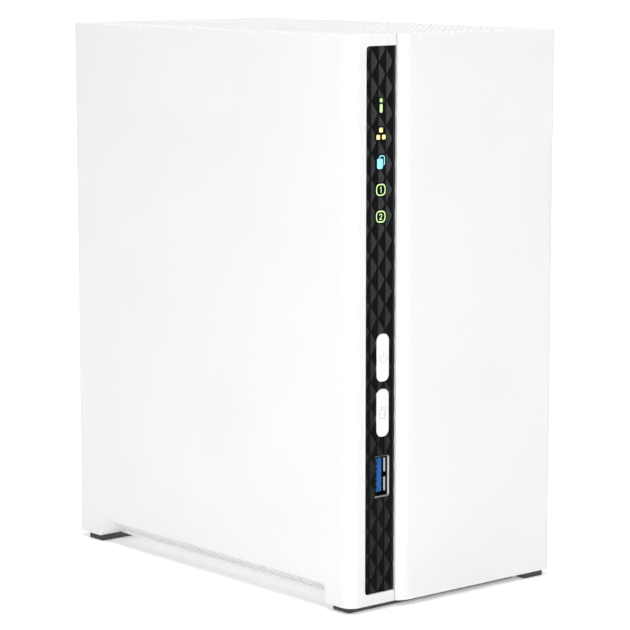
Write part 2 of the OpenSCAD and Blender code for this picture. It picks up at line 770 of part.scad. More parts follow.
module drive_cage() color("silver") difference() {
    union() {
        block([cage_x0, cage_y0, cage_z0], [cage_x0 + sheet_t, cage_y1, cage_z1]);
        block([cage_x0, cage_y0, cage_z0], [cage_x1, cage_y0 + sheet_t, cage_z1]);
        block([cage_x0, cage_y1 - sheet_t, cage_z0], [cage_x1, cage_y1, cage_z1]);
        for (x = cage_foot_x) {
            block([x - 5, cage_y0, cage_foot_z], [x + 5, cage_y0 + sheet_t, cage_z0 + eps]);
            block([x - 5, cage_y0 - 8, cage_foot_z], [x + 5, cage_y0 + sheet_t, cage_foot_z + sheet_t]);
            block([x - 5, cage_y1 - sheet_t, cage_foot_z], [x + 5, cage_y1, cage_z0 + eps]);
            block([x - 5, cage_y1 - sheet_t, cage_foot_z], [x + 5, cage_y1 + 8, cage_foot_z + sheet_t]);
        }
        for (at = board_hole_at) cyl_x(at.x, at.y, 3, board_x1, cage_x0 + eps);
        // Turned-in rims stiffen the two end walls
        block([cage_x0, cage_y0, cage_z1 - sheet_t], [cage_x1, cage_y0 + 7, cage_z1]);
        block([cage_x0, cage_y1 - 7, cage_z1 - sheet_t], [cage_x1, cage_y1, cage_z1]);
    }
    for (at = board_hole_at) cyl_x(at.x, at.y, 1.05, board_x1 - 1, cage_x0 + 3);
    for (x = drive_x, z = drive_hole_z)
        cyl_y(x + drive_hole_x, drive_z + z, 1.9, cage_y0 - 1, cage_y1 + 1);
    for (x = cage_foot_x, y = [cage_y0 - 4, cage_y1 + 4])
        translate([x, y, cage_foot_z - 1]) cylinder(h = 4, r = 1.6);
    // Air windows in both end walls, and a row down the side
    for (x = drive_x) {
        along_y(cage_y0 - 1, cage_y0 + 6) pill([x + drive_t / 2, 106], [16, 76], 3);
        along_y(cage_y1 - 6, cage_y1 + 1) pill([x + drive_t / 2, 106], [16, 76], 3);
    }
    for (z = [80, 134]) along_x(cage_x0 - 1, cage_x0 + 2) pill([-12, z], [70, 16], 4);
}

module cage_screws() color("silver")
    for (x = cage_foot_x, y = [cage_y0 - 4, cage_y1 + 4])
        translate([x, y, cage_foot_z + sheet_t]) screw(2.8, 1.6, 1.2, 4);

module drive_screws() color("silver")
    for (x = drive_x, z = drive_hole_z) translate([x + drive_hole_x, 0, drive_z + z]) {
        translate([0, cage_y0, 0]) rotate([90, 0, 0]) screw(3.4, 1.8, 1.75, 5.5);
        translate([0, cage_y1, 0]) rotate([-90, 0, 0]) screw(3.4, 1.8, 1.75, 5.5);
    }

drive_board_t = 1;
drive_board_h = 96;
lid_t = 0.8;

// Middle of the platters in Y and Z
platters_at = [drive_y0 + drive_w / 2, drive_z + drive_l - 52];

// Cast body of a drive whose board side is at x, with the chamber under its lid
module drive_body(x) difference() {
    block([x, drive_y0, drive_z], [x + drive_t, drive_y0 + drive_w, drive_z + drive_l]);
    block([x - 1, drive_y0 + 4, drive_z - 1],
          [x + 1.8, drive_y0 + drive_w - 4, drive_z + drive_board_h + 0.5]);
    block([x + 1, sata_y - sata_w / 2 - 1, drive_z - 1], [x + 7, sata_y + sata_w / 2 + 1, drive_z + 6]);
    along_x(x + drive_t - lid_t, x + drive_t + 1) drive_lid_outline(0.2);
    for (z = drive_hole_z, y = [drive_y0 - 1, drive_y0 + drive_w - 4.8])
        cyl_y(x + drive_hole_x, drive_z + z, 1.8, y, y + 5.8);
    cyl_x(platters_at.x, platters_at.y, 46, x + 7, x + drive_t - lid_t + eps);
    block([x + 9, drive_y0 + 22, drive_z + 14], [x + drive_t - lid_t + eps, drive_y0 + 84, drive_z + 60]);
    // Shallow steps along the casting's long edges
    for (y = [drive_y0 - 1, drive_y0 + drive_w - 3])
        block([x + drive_t - 3, y, drive_z - 1], [x + drive_t + 1, y + 4, drive_z + 20]);
}

// Lid outline in Y and Z, grown by a gap
module drive_lid_outline(gap) {
    lo = [drive_y0 + 4, drive_z + 4] - [gap, gap];
    hi = [drive_y0 + drive_w - 4, drive_z + drive_l - 4] + [gap, gap];
    cornered_rect(lo, hi, [14, 6, 10, 10]);
}

// Lid with a pressed ring over the platters and its screws
module drive_lid(x) {
    difference() {
        along_x(x + drive_t - lid_t, x + drive_t - 0.2) drive_lid_outline(0);
        difference() {
            cyl_x(platters_at.x, platters_at.y, 44, x + drive_t - 0.4, x + drive_t);
            cyl_x(platters_at.x, platters_at.y, 42.5, x + drive_t - 1, x + drive_t + 1);
        }
    }
    for (y = [drive_y0 + 12, drive_y0 + drive_w - 12], z = [drive_z + 24, drive_z + drive_l - 10])
        cyl_x(y, z, 2.2, x + drive_t - 0.3, x + drive_t);
}

// Circuit board in the casting's pocket, chips outwards
module drive_board(x) {
    block([x + 0.8, drive_y0 + 4.5, drive_z + 0.5],
          [x + 0.8 + drive_board_t, drive_y0 + drive_w - 4.5, drive_z + drive_board_h]);
    block([x + 0.1, drive_y0 + 56, drive_z + 30], [x + 0.9, drive_y0 + 70, drive_z + 44]);
    block([x + 0.1, drive_y0 + 30, drive_z + 52], [x + 0.9, drive_y0 + 40, drive_z + 66]);
    block([x + 0.1, drive_y0 + 74, drive_z + 58], [x + 0.9, drive_y0 + 82, drive_z + 66]);
}

module drive_1_body() color("#9a9ea2") drive_body(drive_x[0]);
module drive_1_lid() color("#c4c8cc") drive_lid(drive_x[0]);
module drive_1_board() color("#20603c") drive_board(drive_x[0]);
module drive_2_body() color("#9a9ea2") drive_body(drive_x[1]);
module drive_2_lid() color("#c4c8cc") drive_lid(drive_x[1]);
module drive_2_board() color("#20603c") drive_board(drive_x[1]);

backplane_x0 = board_x1 + 2.2;
backplane_hole = [for (x = [board_x1 + 6, base_x1 - 4], y = [backplane_y[0] + 4, backplane_y[1] - 4]) [x, y]];

module backplane() color("#1d5c3a") difference() {
    block([backplane_x0, backplane_y[0], backplane_z0],
          [backplane_x1, backplane_y[1], backplane_z0 + board_t]);
    for (at = backplane_hole) translate([at.x, at.y, backplane_z0 - 1]) cylinder(h = 4, r = 1.3);
}

// Edge socket on the main board that takes the backplane's left edge
module riser_socket() color("#2c2c30") difference() {
    block([board_x1, -34, backplane_z0 - 2.4], [board_x1 + 7, 6, backplane_z0 + board_t + 2.4]);
    block([board_x1 + 2.1, -35, backplane_z0 - 0.05], [board_x1 + 8, 7, backplane_z0 + board_t + 0.05]);
}

module sata_sockets() color("#2c2c30")
    for (x = drive_x) difference() {
        block([x + 2, sata_y - sata_w / 2, backplane_z0 + board_t],
              [x + 6, sata_y + sata_w / 2, drive_z + 4.5]);
        block([x + 3.3, sata_y - sata_w / 2 + 1.2, drive_z - 1],
              [x + 4.7, sata_y + sata_w / 2 - 1.2, drive_z + 6]);
    }

// ---------- fan ----------

// Shape drawn around the fan's middle in X and Z, extruded along Y
module at_fan(y0, y1) {
    translate([fan_x, 0, fan_z]) along_y(y0, y1) children();
}

bearing_r = 3.4;
stator_r = 9.8;
rotor_y0 = fan_y0 + 1;
rotor_y1 = rotor_y0 + 17;

module fan_frame() color("#1a1a1a") difference() {
    union() {
        difference() {
            at_fan(fan_y0, fan_y1) pill([0, 0], [fan_w, fan_w], 3);
            at_fan(fan_y0 - 1, fan_y1 + 1) circle(duct_r);
            // Waist between the two mounting flanges
            for (turn = [0:90:270]) translate([fan_x, 0, fan_z]) rotate([0, turn, 0])
                block([fan_w / 2 - 7, fan_y0 + 4, fan_w / 2 - 7], [fan_w, fan_y1 - 4, fan_w]);
        }
        at_fan(fan_y1 - 3, fan_y1) circle(hub_r - 0.5);
        for (turn = [45:90:315]) translate([fan_x, 0, fan_z]) rotate([0, turn, 0])
            block([hub_r - 2, fan_y1 - 3, -1.2], [duct_r + 0.5, fan_y1, 1.2]);
        cyl_y(fan_x, fan_z, bearing_r, rotor_y0 + 6, fan_y1 - 1);
    }
    cyl_y(fan_x, fan_z, shaft_r + running_gap, rotor_y0 + 5, fan_y1 - 2);
    for (dx = [-1, 1], dz = [-1, 1])
        cyl_y(fan_x + dx * fan_hole, fan_z + dz * fan_hole, fan_hole_r, fan_y0 - 1, fan_y1 + 1);
}

module fan_stator() color("#b46a2c") difference() {
    union() {
        cyl_y(fan_x, fan_z, stator_r - 3.2, rotor_y0 + 6.5, fan_y1 - 4);
        for (turn = [0:90:270]) translate([fan_x, 0, fan_z]) rotate([0, turn, 0]) intersection() {
            block([0, rotor_y0 + 7.5, -3.4], [stator_r + 1, fan_y1 - 5, 3.4]);
            cyl_y(0, 0, stator_r, rotor_y0, fan_y1);
        }
    }
    cyl_y(fan_x, fan_z, bearing_r, rotor_y0, fan_y1);
}

module fan_rotor() color("#242424") {
    difference() {
        cyl_y(fan_x, fan_z, hub_r, rotor_y0, rotor_y1);
        cyl_y(fan_x, fan_z, hub_r - 1.6, rotor_y0 + 2, rotor_y1 + 1);
    }
    difference() {
        cyl_y(fan_x, fan_z, 3, rotor_y0 + 1, rotor_y0 + 5);
        cyl_y(fan_x, fan_z, shaft_r, rotor_y0 + 2.5, rotor_y0 + 6);
    }
    for (i = [0:blade_count - 1]) translate([fan_x, 0, fan_z]) rotate([0, i * 360 / blade_count, 0]) blade();
}

module fan_shaft() color("silver") cyl_y(fan_x, fan_z, shaft_r, rotor_y0 + 2.5, fan_y1 - 3);

// Blade along +X: a slice of a tube lying along X, tilted, and cut to the duct
module blade() {
    camber_r = 24;
    tip_r = duct_r - 0.8;
    mid_y = (rotor_y0 + rotor_y1) / 2;
    intersection() {
        translate([0, mid_y, 0]) rotate([38, 0, 0]) translate([0, 0, -camber_r]) difference() {
            cyl_x(0, 0, camber_r + 0.6, hub_r - 0.8, tip_r + 1);
            cyl_x(0, 0, camber_r - 0.6, hub_r - 2, tip_r + 2);
        }
        cyl_y(0, 0, tip_r, rotor_y0 + 1, rotor_y1 - 1);
        block([hub_r - 1, rotor_y0, -9], [tip_r + 1, rotor_y1, 9]);
    }
}

module fan_screws() color("#303030")
    for (dx = [-1, 1], dz = [-1, 1]) translate([fan_x + dx * fan_hole, panel_y1, fan_z + dz * fan_hole])
        rotate([-90, 0, 0]) screw(3.6, 1.6, fan_hole_r - 0.05, 10);

// Sleeved lead from the fan over the main board's top edge to a plug on its left face
module fan_cable() color("#181818") {
    y = fan_y0 + 12;
    over_z = board_z1 + 3.5;
    path = [[fan_x - fan_w / 2, y, fan_z + 15], [cage_x0 - 1.8, y, fan_z + 15], [cage_x0 - 1.8, y, over_z],
            [board_x0 - 3, y, over_z], [board_x0 - 3, y, 110]];
    for (i = [0:3]) rod(path[i], path[i + 1], 1.2);
    for (i = [1:3]) translate(path[i]) sphere(1.2);
    block([board_x0 - 5.5, y - 4, 104], [board_x0, y + 4, 110.5]);
}

// ---------- feet ----------

foot_w = 8.2;
foot_r = [0.5, 0.5, 0.5, 0.5];
case_foot_x1 = base_x1 - 0.2;
cover_foot_x = [flange_x0 + 1.1, half_w - 2.8];
rear_foot_y = rear_y - 5.4 - foot_w;

// Two bars, under the front and the rear end of the case
module case_feet() color("#3c3c3c") linear_extrude(foot_h) {
    cornered_rect([-half_w + 1.8, front_y + 4.5], [case_foot_x1, front_y + 4.5 + foot_w], foot_r);
    cornered_rect([-half_w + 0.3, rear_foot_y], [case_foot_x1, rear_foot_y + foot_w], foot_r);
}

// Two pads, under the cover's right corners
module cover_feet() color("#3c3c3c") linear_extrude(foot_h)
    for (y = [front_y + 0.6, rear_foot_y])
        cornered_rect([cover_foot_x[0], y], [cover_foot_x[1], y + foot_w], foot_r);

left_case();
rear_panel();
rear_panel_screws();
front_strip();
status_lens();
lan_lens();
copy_lens();
drive_lenses();
light_shroud();
front_board();
indicator_leds();
button_switches();
board_link();
main_board();
board_screws();
processor();
thermal_pad();
heat_sink();
board_chips();
inductors();
capacitors();
coin_cell_holder();
coin_cell();
front_usb_shell();
front_usb_tongue();
rear_usb_shells();
rear_usb_tongues();
network_jack();
power_jack();
power_jack_pin();
reset_switch();
backplane();
riser_socket();
sata_sockets();
drive_cage();
cage_screws();
drive_screws();
drive_1_body();
drive_1_lid();
drive_1_board();
drive_2_body();
drive_2_lid();
drive_2_board();
fan_frame();
fan_stator();
fan_screws();
fan_cable();
case_feet();
fan_rotor();
fan_shaft();
power_button();
power_plunger();
copy_button();
copy_plunger();
reset_button();
right_cover();
cover_feet();
cover_screw_1();
cover_screw_2();
cover_screw_3();
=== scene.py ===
"""Looks of a two-bay network storage case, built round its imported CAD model.

Lengths in the helpers are millimetres unless a name says otherwise; the frame itself is in metres.
"""

import math

import bmesh
import bpy
from mathutils import Matrix, Vector


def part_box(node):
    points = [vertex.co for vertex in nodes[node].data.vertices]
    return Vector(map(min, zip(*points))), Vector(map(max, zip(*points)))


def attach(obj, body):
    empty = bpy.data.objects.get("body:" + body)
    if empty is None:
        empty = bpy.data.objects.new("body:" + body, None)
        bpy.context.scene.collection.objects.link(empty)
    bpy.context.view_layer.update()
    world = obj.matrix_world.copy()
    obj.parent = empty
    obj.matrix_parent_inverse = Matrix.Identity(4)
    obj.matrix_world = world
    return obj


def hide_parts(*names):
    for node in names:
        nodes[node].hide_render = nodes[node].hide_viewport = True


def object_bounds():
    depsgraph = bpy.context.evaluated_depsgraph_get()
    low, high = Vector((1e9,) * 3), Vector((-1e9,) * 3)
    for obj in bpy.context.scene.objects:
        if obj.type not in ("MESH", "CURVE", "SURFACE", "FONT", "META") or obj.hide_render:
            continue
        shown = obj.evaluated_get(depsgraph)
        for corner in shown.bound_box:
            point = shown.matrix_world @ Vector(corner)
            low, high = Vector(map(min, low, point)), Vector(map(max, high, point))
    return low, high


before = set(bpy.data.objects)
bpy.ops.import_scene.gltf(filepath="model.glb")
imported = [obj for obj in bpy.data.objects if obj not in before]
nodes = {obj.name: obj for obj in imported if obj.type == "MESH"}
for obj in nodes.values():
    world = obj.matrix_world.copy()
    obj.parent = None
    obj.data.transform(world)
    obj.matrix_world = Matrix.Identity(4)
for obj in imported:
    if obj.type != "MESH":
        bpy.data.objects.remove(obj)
cad_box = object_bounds()
MM = 0.001


def box_mm(node):
    """Lowest and highest corner of a CAD node, in millimetres."""
    low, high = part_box(node)
    return low / MM, high / MM


def srgb(red, green, blue):
    """Linear colour of an sRGB colour given as 0 to 255."""

    def linear(value):
        value /= 255
        return value / 12.92 if value <= 0.04045 else ((value + 0.055) / 1.055) ** 2.4

    return (linear(red), linear(green), linear(blue), 1.0)


# ---------------------------------------------------------------- materials


class Finish:
    """A Principled material with helpers for procedural detail in the frame's own space."""

    def __init__(self, name, colour, roughness, metallic=0.0, specular=0.5):
        self.material = bpy.data.materials.new(name)
        self.material.use_nodes = True
        tree = self.material.node_tree
        self.nodes, self.links = tree.nodes, tree.links
        self.shader = self.nodes["Principled BSDF"]
        self.place = self.nodes.new("ShaderNodeTexCoord").outputs["Object"]
        self.colour = colour
        self.shader.inputs["Base Color"].default_value = colour
        self.shader.inputs["Roughness"].default_value = roughness
        self.shader.inputs["Metallic"].default_value = metallic
        self.shader.inputs["Specular IOR Level"].default_value = specular
        self.material.diffuse_color = colour

    def at_scale(self, size, stretch=(1, 1, 1), turn=(0, 0, 0)):
        """Coordinates in which one unit is size millimetres, times stretch on each axis."""
        mapping = self.nodes.new("ShaderNodeMapping")
        mapping.inputs["Rotation"].default_value = turn
        mapping.inputs["Scale"].default_value = [1 / (size * MM * s) for s in stretch]
        self.links.new(self.place, mapping.inputs["Vector"])
        return mapping.outputs["Vector"]

    def noise(self, size, detail=2.0, stretch=(1, 1, 1), turn=(0, 0, 0)):
        node = self.nodes.new("ShaderNodeTexNoise")
        node.inputs["Scale"].default_value = 1
        node.inputs["Detail"].default_value = detail
        self.links.new(self.at_scale(size, stretch, turn), node.inputs["Vector"])
        return node.outputs["Fac"]

    def cells(self, size, feature="F1", metric="EUCLIDEAN", output="Distance", stretch=(1, 1, 1)):
        node = self.nodes.new("ShaderNodeTexVoronoi")
        node.feature = feature
        node.distance = metric
        node.inputs["Scale"].default_value = 1
        self.links.new(self.at_scale(size, stretch), node.inputs["Vector"])
        return node.outputs[output]

    def waves(self, size, turn=(0, 0, 0), distortion=0.0):
        node = self.nodes.new("ShaderNodeTexWave")
        node.inputs["Scale"].default_value = 1
        node.inputs["Distortion"].default_value = distortion
        self.links.new(self.at_scale(size, turn=turn), node.inputs["Vector"])
        return node.outputs["Fac"]

    def calc(self, operation, first, second):
        node = self.nodes.new("ShaderNodeMath")
        node.operation = operation
        for socket, value in zip(node.inputs, (first, second)):
            if isinstance(value, (int, float)):
                socket.default_value = value
            else:
                self.links.new(value, socket)
        return node.outputs[0]

    def spread(self, factor, low, high, start=0.0, end=1.0):
        """factor from start to end, mapped to low to high and held there."""
        node = self.nodes.new("ShaderNodeMapRange")
        self.links.new(factor, node.inputs["Value"])
        for name, value in (("From Min", start), ("From Max", end), ("To Min", low), ("To Max", high)):
            node.inputs[name].default_value = value
        return node.outputs["Result"]

    def vary(self, name, factor, low, high, start=0.3, end=0.7):
        """Lets a number input of the shader run from low to high with factor."""
        self.links.new(self.spread(factor, low, high, start, end), self.shader.inputs[name])
        return self

    def tint(self, factor, colour, start=0.3, end=0.7):
        """Mixes another colour over what the base colour is so far, where factor is high."""
        node = self.nodes.new("ShaderNodeMix")
        node.data_type = "RGBA"
        self.links.new(self.spread(factor, 0.0, 1.0, start, end), node.inputs["Factor"])
        base = self.shader.inputs["Base Color"]
        if base.links:
            self.links.new(base.links[0].from_socket, node.inputs["A"])
        else:
            node.inputs["A"].default_value = self.colour
        node.inputs["B"].default_value = colour
        self.links.new(node.outputs["Result"], base)
        return self

    def relief(self, height, depth, strength=1.0):
        """Adds a bump of that depth on top of the ones before."""
        node = self.nodes.new("ShaderNodeBump")
        node.inputs["Distance"].default_value = depth * MM
        node.inputs["Strength"].default_value = strength
        self.links.new(height, node.inputs["Height"])
        normal = self.shader.inputs["Normal"]
        if normal.links:
            self.links.new(normal.links[0].from_socket, node.inputs["Normal"])
        self.links.new(node.outputs["Normal"], normal)
        return self

    def soften(self, radius):
        """Rounds the sharp edges in the shading, underneath the bumps."""
        node = self.nodes.new("ShaderNodeBevel")
        node.samples = 4
        node.inputs["Radius"].default_value = radius * MM
        for bump in [n for n in self.nodes if n.type == "BUMP" and not n.inputs["Normal"].links]:
            self.links.new(node.outputs["Normal"], bump.inputs["Normal"])
        return self

    def glow(self, colour, strength):
        self.shader.inputs["Emission Color"].default_value = colour
        self.shader.inputs["Emission Strength"].default_value = strength
        return self


def moulded_plastic(name, colour, darker, roughness=0.45, grain=0.22, depth=0.012):
    """Injection moulded plastic: a fine eroded grain, and tone and gloss that drift over the face."""
    finish = Finish(name, colour, roughness)
    finish.relief(finish.noise(grain, 2.0), depth)
    finish.tint(finish.noise(45, 2.0), darker)
    finish.vary("Roughness", finish.noise(3, 3.0), roughness - 0.05, roughness + 0.05)
    return finish


def gloss_plastic(name, colour, lighter, roughness=0.16):
    """Polished plastic with faint flow marks."""
    finish = Finish(name, colour, roughness)
    finish.tint(finish.noise(9, 3.0), lighter, 0.35, 0.75)
    finish.relief(finish.noise(1.4, 2.0), 0.002)
    finish.vary("Roughness", finish.noise(2.2, 3.0), roughness - 0.04, roughness + 0.06)
    return finish


def rubber(name, colour):
    finish = Finish(name, colour, 0.75, specular=0.35)
    finish.relief(finish.noise(0.35, 3.0), 0.03)
    finish.tint(finish.noise(5, 3.0), tuple(1.7 * c for c in colour[:3]) + (1,))
    finish.vary("Roughness", finish.noise(1.5, 2.0), 0.65, 0.9)
    return finish


def metal(name, colour, roughness, grain=0.18, run=(1, 1, 25), depth=0.006):
    """Drawn or brushed metal; the scratches run along the axis with the largest stretch."""
    finish = Finish(name, colour, roughness, metallic=1.0)
    scratches = finish.noise(grain, 3.0, run)
    finish.relief(scratches, depth)
    finish.tint(finish.noise(12, 2.0), tuple(0.82 * c for c in colour[:3]) + (1,))
    finish.vary("Roughness", scratches, roughness - 0.08, roughness + 0.12)
    return finish


def zinc_sheet(name):
    """Galvanised sheet: flat crystals a few millimetres wide, each with its own tone."""
    finish = Finish(name, srgb(196, 199, 202), 0.38, metallic=1.0)
    crystal = finish.cells(5.5, output="Color")
    finish.tint(crystal, srgb(160, 164, 168), 0.2, 0.9)
    finish.vary("Roughness", crystal, 0.28, 0.5, 0.2, 0.9)
    finish.relief(finish.noise(0.3, 3.0), 0.006)
    return finish


def cast_metal(name, colour):
    finish = Finish(name, colour, 0.5, metallic=1.0)
    finish.relief(finish.noise(0.45, 4.0), 0.05)
    finish.relief(finish.noise(4, 2.0), 0.08)
    finish.tint(finish.noise(7, 3.0), tuple(0.7 * c for c in colour[:3]) + (1,))
    finish.vary("Roughness", finish.noise(1.2, 3.0), 0.42, 0.62)
    return finish


def circuit_board(name):
    """Green solder mask over copper tracks, with tinned spots where the mask is open."""
    finish = Finish(name, srgb(22, 84, 52), 0.3)
    for size in (3.2, 1.5):
        near = finish.cells(size, "F1", "CHEBYCHEV")
        far = finish.cells(size, "F2", "CHEBYCHEV")
        track = finish.calc("SUBTRACT", far, near)
        finish.tint(track, srgb(44, 128, 78), 0.10, 0.06)
        finish.relief(finish.spread(track, 1.0, 0.0, 0.06, 0.10), 0.03)
    pads = finish.cells(2.3)
    finish.tint(pads, srgb(198, 196, 180), 0.14, 0.10)
    finish.links.new(finish.spread(pads, 1.0, 0.0, 0.10, 0.14), finish.shader.inputs["Metallic"])
    finish.vary("Roughness", finish.noise(2, 2.0), 0.24, 0.4)
    return finish


def chip_epoxy(name, colour=srgb(38, 40, 43)):
    finish = Finish(name, colour, 0.5)
    finish.relief(finish.noise(0.12, 3.0), 0.01)
    finish.tint(finish.noise(3, 3.0), tuple(1.5 * c for c in colour[:3]) + (1,))
    finish.vary("Roughness", finish.noise(0.6, 2.0), 0.42, 0.62)
    return finish


def lit_symbol(name, colour, strength):
    """A lit, frosted inlay that is a little brighter in patches, as the lamp behind it isn't even."""
    finish = Finish(name, colour, 0.4).glow(colour, strength)
    lamp = finish.noise(1.6, 1.0)
    finish.vary("Emission Strength", lamp, strength * 0.85, strength * 1.1)
    finish.relief(finish.noise(0.1, 2.0), 0.004)
    finish.tint(lamp, tuple(min(1.0, 1.15 * c) for c in colour[:3]) + (1,))
    return finish


def copper_winding(name):
    finish = Finish(name, srgb(186, 98, 46), 0.28, metallic=1.0)
    turns = finish.waves(0.9, turn=(0, 0, math.pi / 2))
    finish.relief(turns, 0.12)
    finish.tint(turns, srgb(120, 52, 22), 0.0, 1.0)
    finish.vary("Roughness", finish.noise(0.8, 2.0), 0.2, 0.4)
    return finish


def braided_sleeve(name):
    finish = Finish(name, srgb(30, 30, 32), 0.6)
    for turn in (math.pi / 4, -math.pi / 4):
        strands = finish.waves(1.6, turn=(0, turn, 0))
        finish.relief(strands, 0.15)
    finish.tint(finish.noise(0.5, 2.0), srgb(66, 66, 70))
    finish.vary("Roughness", finish.noise(0.4, 2.0), 0.5, 0.75)
    return finish


def printed_film(name, colour, darker):
    """Paper or film label."""
    finish = Finish(name, colour, 0.35)
    finish.tint(finish.noise(0.5, 4.0), darker, 0.35, 0.9)
    finish.relief(finish.noise(0.3, 3.0), 0.004)
    finish.vary("Roughness", finish.noise(6, 2.0), 0.28, 0.42)
    return finish


SHELL = moulded_plastic("shell_white", srgb(238, 238, 238), srgb(235, 235, 236), 0.42)
PANEL = moulded_plastic("panel_white", srgb(234, 235, 236), srgb(229, 230, 232), 0.5, 0.3, 0.02)
BUTTON = moulded_plastic("button_white", srgb(246, 246, 246), srgb(242, 242, 243), 0.3, 0.2, 0.004)
STRIP = gloss_plastic("strip_black", srgb(16, 16, 17), srgb(20, 20, 22), 0.12)
INK = printed_film("button_ink", srgb(196, 197, 199), srgb(186, 187, 190))
LIME = lit_symbol("symbol_lime", srgb(192, 230, 158), 0.4)
YELLOW = lit_symbol("symbol_yellow", srgb(240, 222, 146), 0.4)
CYAN = lit_symbol("symbol_cyan", srgb(138, 224, 240), 0.4)
RUBBER = rubber("rubber_grey", srgb(62, 62, 63))
PLUNGER = gloss_plastic("plunger_red", srgb(176, 34, 30), srgb(196, 60, 50), 0.3)
DARK = moulded_plastic("dark_plastic", srgb(44, 44, 47), srgb(54, 54, 57), 0.45, 0.2, 0.015)
# Black sheet for the inside of the USB socket's metal bore: painted shade for the socket's dark depth
SHADE_LINER = moulded_plastic("socket_painted_shade", srgb(14, 14, 15), srgb(22, 22, 23), 0.5, 0.2, 0.01)
CREAM = moulded_plastic("cream_plastic", srgb(226, 217, 194), srgb(216, 205, 178), 0.45, 0.2, 0.01)
LED = gloss_plastic("led_white", srgb(240, 236, 214), srgb(228, 214, 160), 0.2)
PAD = moulded_plastic("pad_grey", srgb(168, 170, 178), srgb(150, 152, 160), 0.7, 0.5, 0.05)
BOARD = circuit_board("board_green")
CHIP = chip_epoxy("chip_black")
FERRITE = chip_epoxy("inductor_grey", srgb(80, 80, 86))
SINK = metal("heat_sink_metal", srgb(168, 172, 178), 0.4, 0.15, (1, 1, 20), 0.008)
CAN = metal("capacitor_metal", srgb(206, 208, 212), 0.25, 0.1, (12, 1, 1), 0.003)
CELL = metal("cell_steel", srgb(205, 206, 206), 0.25, 0.12, (1, 12, 1), 0.003)
SOCKET = metal("socket_steel", srgb(214, 216, 219), 0.24, 0.14, (1, 12, 1), 0.003)
GOLD = metal("contact_gold", srgb(232, 190, 104), 0.22, 0.1, (1, 10, 1), 0.002)
TONGUE = gloss_plastic("tongue_blue", srgb(22, 90, 158), srgb(40, 112, 182), 0.3)
CAGE = zinc_sheet("cage_steel")
SCREW = metal("screw_steel", srgb(190, 191, 194), 0.26, 0.3, (1, 6, 1), 0.006)
BLACK_SCREW = metal("screw_black", srgb(58, 58, 62), 0.36, 0.3, (1, 6, 1), 0.006)
CASTING = cast_metal("drive_casting", srgb(148, 151, 156))
LID = metal("drive_lid_steel", srgb(198, 201, 205), 0.3, 0.14, (1, 1, 40), 0.004)
FAN = moulded_plastic("fan_black", srgb(36, 36, 38), srgb(44, 44, 47), 0.38, 0.25, 0.01)
COPPER = copper_winding("copper_winding")
SHAFT = metal("shaft_steel", srgb(220, 221, 223), 0.15, 0.1, (1, 14, 1), 0.002)
CABLE = braided_sleeve("cable_black")
LABEL = printed_film("drive_label", srgb(240, 240, 237), srgb(228, 229, 226))
LABEL_BAND = printed_film("label_band", srgb(70, 124, 168), srgb(60, 110, 152))

# Parts full of holes keep their mesh, and have their edges rounded in the shading
PANEL.soften(0.25)
CAGE.soften(0.15)
CASTING.soften(0.4)

# Every CAD node's finish. The nodes that a Blender piece stands for have one too, for anyone who
# shows them.
FINISH_OF = {
    SHELL: ["left_case", "right_cover"],
    PANEL: ["rear_panel"],
    STRIP: ["front_strip"],
    LIME: ["status_lens", "drive_lenses"],
    YELLOW: ["lan_lens"],
    CYAN: ["copy_lens"],
    BUTTON: ["power_button", "copy_button", "reset_button"],
    PLUNGER: ["power_plunger", "copy_plunger"],
    RUBBER: ["case_feet", "cover_feet"],
    BOARD: ["main_board", "front_board", "backplane", "drive_1_board", "drive_2_board"],
    CHIP: ["processor", "board_chips"],
    FERRITE: ["inductors"],
    CAN: ["capacitors"],
    CELL: ["coin_cell"],
    PAD: ["thermal_pad"],
    SINK: ["heat_sink"],
    LED: ["indicator_leds"],
    CREAM: ["board_link"],
    DARK: [
        "light_shroud", "button_switches", "coin_cell_holder", "rear_usb_tongues", "power_jack",
        "reset_switch", "riser_socket", "sata_sockets",
    ],
    SOCKET: ["front_usb_shell", "rear_usb_shells", "network_jack", "power_jack_pin"],
    TONGUE: ["front_usb_tongue"],
    CAGE: ["drive_cage"],
    SCREW: [
        "rear_panel_screws", "board_screws", "cage_screws", "drive_screws",
        "cover_screw_1", "cover_screw_2", "cover_screw_3",
    ],
    BLACK_SCREW: ["fan_screws"],
    CASTING: ["drive_1_body", "drive_2_body"],
    LID: ["drive_1_lid", "drive_2_lid"],
    FAN: ["fan_frame", "fan_rotor"],
    COPPER: ["fan_stator"],
    SHAFT: ["fan_shaft"],
    CABLE: ["fan_cable"],
}


def apply_finishes():
    done = set()
    for finish, names in FINISH_OF.items():
        for name in names:
            for material_slot in nodes[name].material_slots:
                material_slot.link = "OBJECT"
                material_slot.material = finish.material
            done.add(name)
    missing = sorted(set(nodes) - done)
    if missing:
        raise RuntimeError(f"no finish for {missing}")


# ---------------------------------------------------------------- rounded edges on CAD nodes


def round_edges(names, width, angle=35, segments=2):
    """Breaks the sharp edges, as a mould or a tumbler does. The CAD mesh itself stays as it is."""
    for name in names:
        o = nodes[name]
        weld = o.modifiers.new("weld", "WELD")
        weld.merge_threshold = 0.002 * MM
        flat = o.modifiers.new("flat", "DECIMATE")
        flat.decimate_type = "DISSOLVE"
        flat.angle_limit = math.radians(0.4)
        bevel = o.modifiers.new("bevel", "BEVEL")
        bevel.width = width * MM
        bevel.segments = segments
        bevel.limit_method = "ANGLE"
        bevel.angle_limit = math.radians(angle)
        bevel.use_clamp_overlap = True
        bevel.miter_outer = "MITER_ARC"
        normals = o.modifiers.new("normals", "WEIGHTED_NORMAL")
        normals.keep_sharp = False


# ---------------------------------------------------------------- mesh helpers


